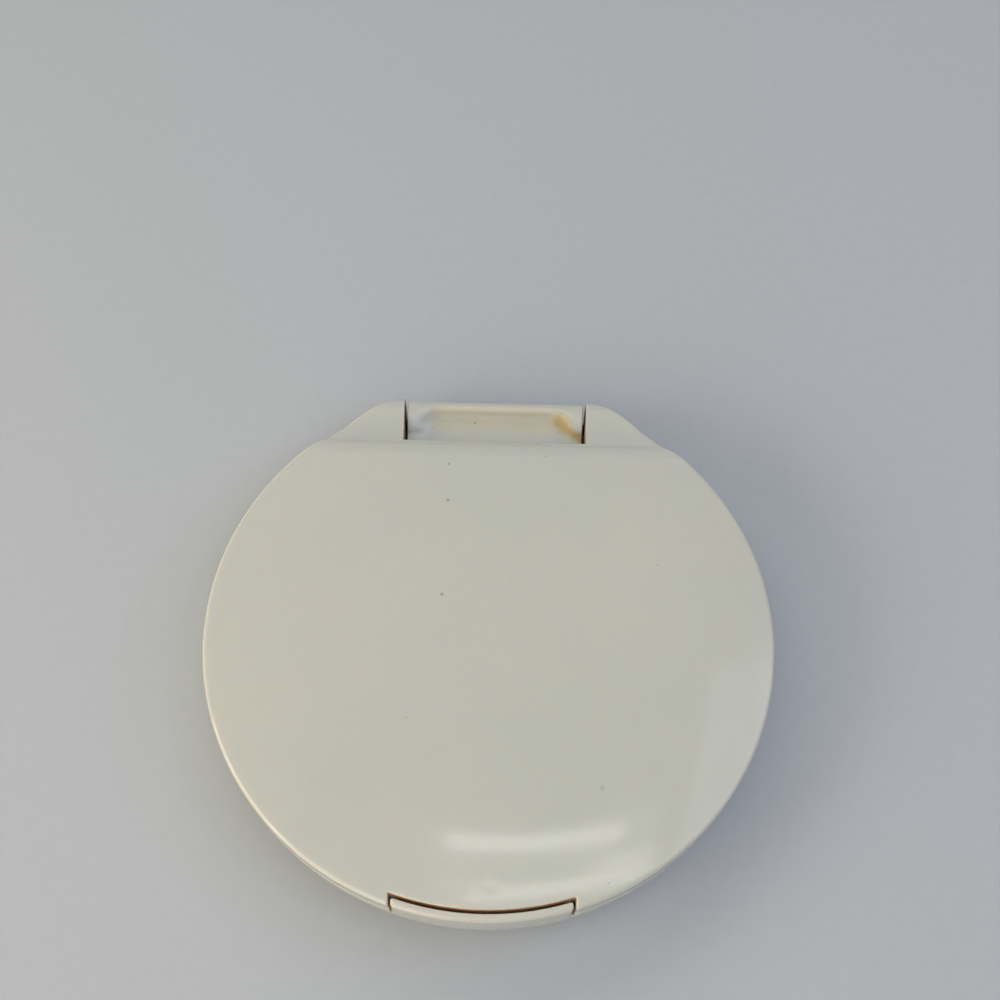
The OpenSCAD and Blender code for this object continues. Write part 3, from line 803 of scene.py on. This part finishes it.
def in_button_gap(tree, place, aside):
    """On in the gap behind the button's strip and at its ends."""
    flat = add(tree, "ShaderNodeVectorMath", {0: place, 1: FROM_ABOVE}, operation="MULTIPLY")
    from_centre = add(tree, "ShaderNodeVectorMath", {0: flat}, operation="LENGTH")
    notch_side, strip_side = NOTCH_HALF_W + WALL_OVERLAP_MM, STRIP_HALF_W - WALL_OVERLAP_MM
    notch_wall, strip_wall = NOTCH_R - WALL_OVERLAP_MM, STRIP_INNER_R + WALL_OVERLAP_MM
    back = mask_all(
        tree,
        mask_between(tree, from_centre, notch_wall, strip_wall, WALL_SOFT_MM),
        mask_between(tree, aside, 0, NOTCH_HALF_W, GAP_SIDE_SOFT_MM),
    )
    ends = mask_all(
        tree,
        mask_between(tree, aside, strip_side, notch_side, WALL_SOFT_MM),
        mask_between(tree, from_centre, NOTCH_R, CASE_R - GAP_OUTER_MM, GAP_OUTER_SOFT_MM),
    )
    return mask_any(tree, back, ends)


def painted_glow_round_button(tree, place):
    """On near the top of the gap between the lid and the button, for its painted glow."""
    aside, y, z = aside_y_z(tree, place)
    gap = in_button_gap(tree, place, aside)
    at_front = mask_between(tree, y, -CASE_R - PAST_MM, -CASE_R / 2, FRONT_SOFT_MM)
    noise = add(tree, "ShaderNodeTexNoise", {"Vector": place, "Scale": 1 / RAGGED_MM, "Detail": 2})
    height = add(tree, "ShaderNodeMath", {0: noise, 1: RAGGED_BY_MM, 2: z}, operation="MULTIPLY_ADD")
    near_top = mask_between(tree, height, TOP_Z - GLOW_DEEP_MM, TOP_Z - GLOW_SHALLOW_MM, GLOW_SOFT_MM)
    return mask_all(tree, gap, at_front, near_top)


def brown_in_slits(tree, place):
    """On at the walls of the slits between the ears and the lug."""
    aside, y, _ = aside_y_z(tree, place)
    splay = math.tan((EAR_SPLAY + LUG_SPLAY) / 2)
    straight = add(tree, "ShaderNodeMath", {0: y, 1: -splay, 2: aside}, operation="MULTIPLY_ADD")
    middle = (EAR_INNER_X + LUG_HALF_W) / 2 - HINGE_Y * splay
    near, far = middle - SLIT_BROWN_HALF_W_MM, middle + SLIT_BROWN_HALF_W_MM
    in_slit = mask_between(tree, straight, near, far, SLIT_WALL_SOFT_MM)
    at_hinge = mask_between(tree, y, REAR_NOTCH_Y, CASE_R + PAST_MM, SLIT_END_SOFT_MM)
    return mask_all(tree, in_slit, at_hinge)


mean_shift = RAGGED_BY_MM / 2
glow_span = [round(depth + mean_shift, 1) for depth in (GLOW_SHALLOW_MM, GLOW_DEEP_MM)]
print("painted gap glow lies about", glow_span, "mm below the lid's top")

# %% [markdown]
# A brown patch runs from the trough's right end down to its front
# corner. It is two soft stripes, wide and then narrow, and noise moves
# the places at which they are measured, so that its edge is uneven.
# The trough below its lip is also tinted a little yellow.

# %% Ivory: brown patch and yellow tint in the trough
# Colours of the brown patch and of the yellow tint in the trough.
PATCH_HEX, TROUGH_TINT_HEX = "#B89C62", "#D2C29C"
PATCH_FROM_MM, PATCH_MID_MM, PATCH_TO_MM = (8.9, 31.5, 6.3), (9.6, 30.9, 6.2), (11.7, 28.8, 6.1)
PATCH_WIDE_MM, PATCH_NARROW_MM = (0.3, 1.3), (0.2, 0.8)
UNEVEN_MM, UNEVEN_BY_MM = 0.8, (0.8, 0.8, 0.4)
NOISE_MIDDLE = (0.5, 0.5, 0.5)
YELLOW_SIDE_MM = 1.2
YELLOW_FRONT_MM, YELLOW_REAR_MM, YELLOW_ALONG_SOFT_MM = 0.9, 0.6, 1.4
YELLOW_BELOW_LIP_MM, YELLOW_LIP_SOFT_MM = 0.3, 0.2


def patch_in_trough(tree, place):
    """On at the brown patch, with an uneven edge."""
    noise = add(tree, "ShaderNodeTexNoise", {"Vector": place, "Scale": 1 / UNEVEN_MM, "Detail": 2})
    offset = {0: noise.outputs["Color"], 1: NOISE_MIDDLE}
    offset = add(tree, "ShaderNodeVectorMath", offset, operation="SUBTRACT")
    moved = {0: offset, 1: UNEVEN_BY_MM, 2: place}
    moved = add(tree, "ShaderNodeVectorMath", moved, operation="MULTIPLY_ADD")
    wide = mask_stripe(tree, moved, PATCH_FROM_MM, PATCH_MID_MM, *PATCH_WIDE_MM)
    narrow = mask_stripe(tree, moved, PATCH_MID_MM, PATCH_TO_MM, *PATCH_NARROW_MM)
    return mask_any(tree, wide, narrow)


def yellow_tint_in_trough(tree, place):
    """On in the trough, below its lip."""
    aside, y, z = aside_y_z(tree, place)
    front, rear = HINGE_Y - YELLOW_FRONT_MM, HINGE_Y + YELLOW_REAR_MM
    lip = LUG_TOP_Z - YELLOW_BELOW_LIP_MM
    return mask_all(
        tree,
        mask_between(tree, aside, 0, TROUGH_HALF_W - YELLOW_SIDE_MM, YELLOW_SIDE_MM),
        mask_between(tree, y, front, rear, YELLOW_ALONG_SOFT_MM),
        mask_between(tree, z, TROUGH_Z - PAST_MM, lip, YELLOW_LIP_SOFT_MM),
    )


patch_length = (Vector(PATCH_TO_MM) - Vector(PATCH_FROM_MM)).length
print("brown_patch", round(patch_length, 1), "mm long")

# %% [markdown]
# The plastic itself changes a little in colour over some centimetres,
# and smudges make its gloss uneven. Scratches and the layers over the
# colour are rougher than the polish. Specks, tints and a painted glow
# are laid over the colour in layers, each with its own colour and
# strength. The frames inside the case stay clean.

# %% Ivory: the material
IVORY_HEX, IVORY_CLOUD_HEX = "#CAC8BD", "#C5C6BC"
CLOUD_MM, CLOUD_LEVELS = 24, {"From Min": 0.35, "From Max": 0.65}
SMUDGE_MM, SMUDGE_LEVELS = 7, {"From Min": 0.3, "From Max": 0.7}
POLISHED_ROUGH, SMUDGED_ROUGH = 0.06, 0.085
SCRATCH_ROUGHER, LAYER_ROUGHER = 0.1, 0.4
ABS_IOR = 1.53
MILKY = {
    "Subsurface Weight": 0.8,
    "Subsurface Radius": (1.0, 0.6, 0.35),
    "Subsurface Scale": 1.2 * MM,
}


def wear_tint_and_glow_layers(tree, place):
    """Each layer of wear, tint and painted glow as where it lies, its colour and its strength."""
    return (
        (yellow_tint_in_trough(tree, place), TROUGH_TINT_HEX, 0.38),
        (specks(tree, place), SPECK_HEX, 1.0),
        # brown patch at the trough's right end
        (patch_in_trough(tree, place), PATCH_HEX, 0.9),
        # painted glow, lightening the shade in the gap round the button
        (painted_glow_round_button(tree, place), GAP_GLOW_HEX, 0.6),
        # dark brown on the walls of the slits beside the lug
        (brown_in_slits(tree, place), SLIT_BROWN_HEX, 0.9),
    )


def moulded_ivory(name, with_marks):
    """Ivory ABS, with or without the layers of wear, tint and painted glow."""
    material, tree, place = start_material(name)
    cloud = add(tree, "ShaderNodeTexNoise", {"Vector": place, "Scale": 1 / CLOUD_MM, "Detail": 2})
    cloud = add(tree, "ShaderNodeMapRange", {"Value": cloud, **CLOUD_LEVELS})
    dye = {0: cloud, COLOUR_A: linear(IVORY_HEX), COLOUR_B: linear(IVORY_CLOUD_HEX)}
    colour = add(tree, "ShaderNodeMix", dye, data_type="RGBA")
    smudge = add(tree, "ShaderNodeTexNoise", {"Vector": place, "Scale": 1 / SMUDGE_MM, "Detail": 3})
    gloss = {"Value": smudge, **SMUDGE_LEVELS, "To Min": POLISHED_ROUGH, "To Max": SMUDGED_ROUGH}
    rough = add(tree, "ShaderNodeMapRange", gloss)
    scratched = hairlines(tree, place)
    rougher = {0: scratched, 1: SCRATCH_ROUGHER, 2: rough}
    rough = add(tree, "ShaderNodeMath", rougher, operation="MULTIPLY_ADD")
    layers = wear_tint_and_glow_layers(tree, place) if with_marks else ()
    for where, hex_code, strength in layers:
        amount = add(tree, "ShaderNodeMath", {0: where, 1: strength}, operation="MULTIPLY")
        layer = {0: amount, COLOUR_A: colour, COLOUR_B: linear(hex_code)}
        colour = add(tree, "ShaderNodeMix", layer, data_type="RGBA")
        rougher = {0: amount, 1: LAYER_ROUGHER, 2: rough}
        rough = add(tree, "ShaderNodeMath", rougher, operation="MULTIPLY_ADD")
    skin = {"Base Color": colour, "Roughness": rough, "Normal": polish(tree, place, scratched)}
    finish_material(material, {**skin, **MILKY, "IOR": ABS_IOR})
    return material


ivory = moulded_ivory("ivory_ABS_marks_and_glow", with_marks=True)
ivory_inside = moulded_ivory("ivory_ABS_clean", with_marks=False)

# %% [markdown]
# Drawn steel
#
# The hinge pins are cut from drawn wire and the leaf spring is rolled
# strip. Drawing leaves fine lines along the length, which stretch the
# reflections across it, and which are drawn here several times coarser
# than real, to show at all. Where a pin crosses the slit beside the
# lug, the metal is painted a dull dark brown.

# %% Drawn steel
# The second colour is a dull dark brown on the pins in the slits.
STEEL_HEX, PIN_BROWN_HEX = "#B8BABD", "#5A4028"
DRAWN_LINE_MM, DRAWN_LINE_DEPTH_MM, DRAWN_STRETCH = 0.05, 0.004, 0.04
PIN_BROWN_MARGIN_MM = 0.1
DRAWN_ROUGH = {"To Min": 0.22, "To Max": 0.42}


def drawn_steel():
    """Bare metal with lines along X, painted dull dark brown in the slits."""
    material, tree, place = start_material("drawn_steel")
    aside, _, _ = aside_y_z(tree, place)
    slit_from, slit_to = LUG_HALF_W - PIN_BROWN_MARGIN_MM, EAR_INNER_X + PIN_BROWN_MARGIN_MM
    # dull dark brown where the pins cross the slits
    browned = mask_between(tree, aside, slit_from, slit_to, PIN_BROWN_MARGIN_MM)
    cover = {0: browned, COLOUR_A: linear(STEEL_HEX), COLOUR_B: linear(PIN_BROWN_HEX)}
    colour = add(tree, "ShaderNodeMix", cover, data_type="RGBA")
    bare = add(tree, "ShaderNodeMath", {0: 1.0, 1: browned}, operation="SUBTRACT")
    drawn = add(tree, "ShaderNodeVectorMath", {0: place, 1: (DRAWN_STRETCH, 1, 1)}, operation="MULTIPLY")
    lines = add(tree, "ShaderNodeTexNoise", {"Vector": drawn, "Scale": 1 / DRAWN_LINE_MM, "Detail": 2})
    rough = add(tree, "ShaderNodeMapRange", {"Value": lines, **DRAWN_ROUGH})
    rougher = {0: browned, 1: LAYER_ROUGHER, 2: rough}
    rough = add(tree, "ShaderNodeMath", rougher, operation="MULTIPLY_ADD")
    relief = {"Height": lines, "Distance": DRAWN_LINE_DEPTH_MM * MM, "Strength": 0.6}
    bump = add(tree, "ShaderNodeBump", relief)
    look = {"Base Color": colour, "Metallic": bare, "Roughness": rough, "Normal": bump}
    finish_material(material, look)
    return material


steel = drawn_steel()

# %% [markdown]
# Silvered glass
#
# Float glass with a silver coat on its back. The eye sees only the
# silver, so the whole disc is a nearly perfect metal mirror. A clear
# sheet over a metal one would look almost the same and take longer to
# render. Dust is too fine to show, so it is drawn as dull patches.

# %% Silvered glass
SILVER_HEX = "#E9EDEC"
DUST_MM, DUST_LEVELS = 0.9, {"From Min": 0.55, "From Max": 0.8}
CLEAN_ROUGH, DUSTY_ROUGH = 0.015, 0.09


def silvered_glass():
    """A metal mirror, a little rougher where dust lies."""
    material, tree, place = start_material("silvered_float_glass")
    dust = add(tree, "ShaderNodeTexNoise", {"Vector": place, "Scale": 1 / DUST_MM, "Detail": 4})
    dulled = {"Value": dust, **DUST_LEVELS, "To Min": CLEAN_ROUGH, "To Max": DUSTY_ROUGH}
    rough = add(tree, "ShaderNodeMapRange", dulled)
    finish_material(material, {"Base Color": linear(SILVER_HEX), "Metallic": 1.0, "Roughness": rough})
    return material


glass = silvered_glass()

# %% [markdown]
# Adhesive foam
#
# Each mirror is held by a disc of closed-cell polyethylene foam. Its cut
# edge shows tiny bubbles, which make it look chalky. A pattern of cells,
# each darkest in its middle, draws them at their real size, with painted
# shade in each hollow bubble.

# %% Adhesive foam
# The first colour is painted shade in the hollow bubbles.
BUBBLE_SHADE_HEX, CELL_WALL_HEX = "#C9C9C2", "#E4E4DF"
BUBBLE_MM, BUBBLE_DEPTH_MM = 0.22, 0.05
FOAM_ROUGH = 0.85


def closed_cell_foam():
    """Chalky white, with painted shade in the hollow bubbles."""
    material, tree, place = start_material("closed_cell_foam")
    bubbles = add(tree, "ShaderNodeTexVoronoi", {"Vector": place, "Scale": 1 / BUBBLE_MM})
    cells = {0: bubbles, COLOUR_A: linear(BUBBLE_SHADE_HEX), COLOUR_B: linear(CELL_WALL_HEX)}
    shade = add(tree, "ShaderNodeMix", cells, data_type="RGBA")
    relief = {"Height": bubbles, "Distance": BUBBLE_DEPTH_MM * MM, "Strength": 0.8}
    bump = add(tree, "ShaderNodeBump", relief)
    finish_material(material, {"Base Color": shade, "Roughness": FOAM_ROUGH, "Normal": bump})
    return material


foam = closed_cell_foam()

# %% [markdown]
# The skins take the ivory with its marks and painted glow. The other
# pieces are the imported solids themselves, whose meshes are sharp and
# have doubled corners. Welding the corners joins their faces, and a
# Bevel then breaks the edges, as a deburred or moulded edge is never
# quite sharp.

# %% Put the materials on
finishes = {
    "hinge_pin_left": steel, "hinge_pin_right": steel, "latch_spring": steel,
    "lid_mirror": glass, "base_mirror": glass,
    "lid_mirror_pad": foam, "base_mirror_pad": foam,
    "lid_frame": ivory_inside, "base_frame": ivory_inside,
}
WELD_MM = 0.01
BROKEN_EDGE_MM, BROKEN_EDGE_STEPS, BROKEN_EDGE_ANGLE = 0.06, 2, math.radians(40)


def break_edges(piece):
    """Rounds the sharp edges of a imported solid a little."""
    weld = piece.modifiers.new("weld", "WELD")
    weld.merge_threshold = WELD_MM * MM
    broken_edge = piece.modifiers.new("broken_edge", "BEVEL")
    broken_edge.width = BROKEN_EDGE_MM * MM
    broken_edge.segments = BROKEN_EDGE_STEPS
    broken_edge.angle_limit = BROKEN_EDGE_ANGLE


for skin in skins.values():
    skin.data.materials.append(ivory)
for name, material in finishes.items():
    nodes[name].data.materials.clear()
    nodes[name].data.materials.append(material)
    break_edges(nodes[name])
print("pieces with a finish:", len(skins) + len(finishes))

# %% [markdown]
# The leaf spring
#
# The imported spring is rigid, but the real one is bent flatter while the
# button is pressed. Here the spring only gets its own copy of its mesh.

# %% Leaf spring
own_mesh(nodes["latch_spring"])

# %% [markdown]
# Floor
#
# A plain matt sheet lies under the case. It is pale and a little blue,
# so that it throws cool light up on to the rim and takes a soft shadow.
# Far out, where little light falls, the sheet fades into the bright
# room, as a studio's paper sweep does. Without that, a dark horizon
# would show.

# %% Floor
ROOM_HEX, ROOM_SEEN = "#F2F5FA", 0.7
FLOOR_HEX, FLOOR_FIBRE_HEX = "#B2B5B8", "#B8BABD"
FLOOR_HALF_M, FIBRE_MM, FLOOR_ROUGH = 1.5, 1.5, 0.9
SWEEP_FROM_MM, SWEEP_TO_MM = 250, 1100


def seen_directly(tree):
    """On for what the camera sees, straight or in a gloss, and off for the light on the piece."""
    path = add(tree, "ShaderNodeLightPath").outputs
    either = {0: path["Is Camera Ray"], 1: path["Is Glossy Ray"]}
    return add(tree, "ShaderNodeMath", either, operation="MAXIMUM")


def pale_floor():
    """A matt sheet that turns into the room far from the case."""
    material, tree, place = start_material("pale_matte_board")
    fibre = add(tree, "ShaderNodeTexNoise", {"Vector": place, "Scale": 1 / FIBRE_MM, "Detail": 4})
    fibres = {0: fibre, COLOUR_A: linear(FLOOR_HEX), COLOUR_B: linear(FLOOR_FIBRE_HEX)}
    shade = add(tree, "ShaderNodeMix", fibres, data_type="RGBA")
    board = add(tree, "ShaderNodeBsdfPrincipled", {"Base Color": shade, "Roughness": FLOOR_ROUGH})
    room = add(tree, "ShaderNodeEmission", {"Color": linear(ROOM_HEX), "Strength": ROOM_SEEN})
    far = add(tree, "ShaderNodeVectorMath", {0: place}, operation="LENGTH").outputs["Value"]
    sweep = {"Value": far, "From Min": SWEEP_FROM_MM, "From Max": SWEEP_TO_MM}
    far = add(tree, "ShaderNodeMapRange", sweep, interpolation_type="SMOOTHSTEP")
    swept = mask_all(tree, far, seen_directly(tree))
    sheet = add(tree, "ShaderNodeMixShader", {0: swept, 1: board, 2: room})
    add(tree, "ShaderNodeOutputMaterial", {"Surface": sheet})
    return material


def make_floor():
    """One square face at the height that the case rests on."""
    half = FLOOR_HALF_M
    mesh = bpy.data.meshes.new("floor")
    corners = [(-half, -half, 0), (half, -half, 0), (half, half, 0), (-half, half, 0)]
    mesh.from_pydata(corners, [], [(0, 1, 2, 3)])
    mesh.materials.append(pale_floor())
    floor = bpy.data.objects.new("floor", mesh)
    bpy.context.scene.collection.objects.link(floor)
    print("floor:", 2 * half, "m wide")


make_floor()

# %% [markdown]
# Light
#
# The world gives a weak even light. To the camera and in a gloss it
# looks brighter than that, so the mirrors show a pale room, and yet no
# more light falls on the object.

# %% Light: the room
WORLD_LIGHT = 0.26


def light_room():
    """An even sky, brighter where it is seen than where it lights."""
    world = bpy.data.worlds.new("studio")
    bpy.context.scene.world = world
    world.use_nodes = True
    sky = world.node_tree
    strengths = {"Value": seen_directly(sky), "To Min": WORLD_LIGHT, "To Max": ROOM_SEEN}
    level = add(sky, "ShaderNodeMapRange", strengths)
    sky.links.new(level.outputs[0], sky.nodes["Background"].inputs["Strength"])
    sky.nodes["Background"].inputs["Color"].default_value = linear(ROOM_HEX)
    print("world light", WORLD_LIGHT, "and seen as", ROOM_SEEN)


light_room()

# %% [markdown]
# The photo was taken in daylight in a room. The window shows in the lid
# as a bright frame near the button: two narrow panes, a corner between
# them and a faint glow. Where each lies was found by following the view
# from the camera off the lid to a level 0.6 m up. These lamps face
# straight down, since one that is aimed from nearly overhead would turn
# with every change of its place.
# The other boxes are large and soft. They stand for the room: warm from
# the left and front, cool from the right, and a broad pale one behind
# that lights the ears and the trough, and isn't seen in the mirrors.
# Each lamp has its place and its size in metres, and its power in watts.

# %% Light: lamps
WINDOW_HEX = "#FFFCF6"
WINDOW_PARTS = {
    "window_top_pane": ((0.036, 0.078, 0.6), (0.13, 0.022), 0.032, -2),
    "window_low_pane": ((0.055, 0.019, 0.6), (0.15, 0.018), 0.028, 5),
    "window_corner": ((0.108, 0.037, 0.6), (0.06, 0.034), 0.013, 8),
    "window_glow": ((0.045, 0.052, 0.6), (0.18, 0.1), 0.028, 0),
}
ROOM_BOXES = {
    "front_high": ((0.0, -0.42, 0.5), (0.5, 0.3), 0.42, "#FFFFFF"),
    "front_low": ((-0.35, -0.5, 0.2), (0.6, 0.25), 1.6, "#FFF8EC"),
    "right_high": ((0.38, -0.02, 0.55), (0.5, 0.5), 0.75, "#DFE8FF"),
    "right_low": ((0.3, 0.0, 0.3), (0.35, 0.35), 0.24, "#CEDBFF"),
    "left_low": ((-0.3, -0.1, 0.16), (0.2, 0.16), 0.5, "#FFF2D2"),
    "rear_high": ((-0.25, 0.66, 0.62), (1.3, 0.5), 3.4, "#FFFDF4"),
}


def softbox(name, place, size, watts, hex_code, facing):
    """A lit rectangle, which faces straight down unless it is turned."""
    data = bpy.data.lights.new(name, "AREA")
    data.shape = "RECTANGLE"
    data.size, data.size_y = size
    data.energy = watts
    data.color = linear(hex_code)[:3]
    lamp = bpy.data.objects.new(name, data)
    bpy.context.scene.collection.objects.link(lamp)
    lamp.matrix_world = Matrix.Translation(place) @ facing
    return lamp


for name, (place, size, watts, turn) in WINDOW_PARTS.items():
    flat_turn = Matrix.Rotation(math.radians(turn), 4, "Z")
    softbox(name, place, size, watts, WINDOW_HEX, flat_turn)
for name, (place, size, watts, hex_code) in ROOM_BOXES.items():
    at_case = (-Vector(place)).to_track_quat("-Z", "Y").to_matrix().to_4x4()
    box = softbox(name, place, size, watts, hex_code, at_case)
    box.visible_glossy = name != "rear_high"
print("lamps:", len(bpy.data.lights))

bpy.context.scene.view_settings.view_transform = "Standard"
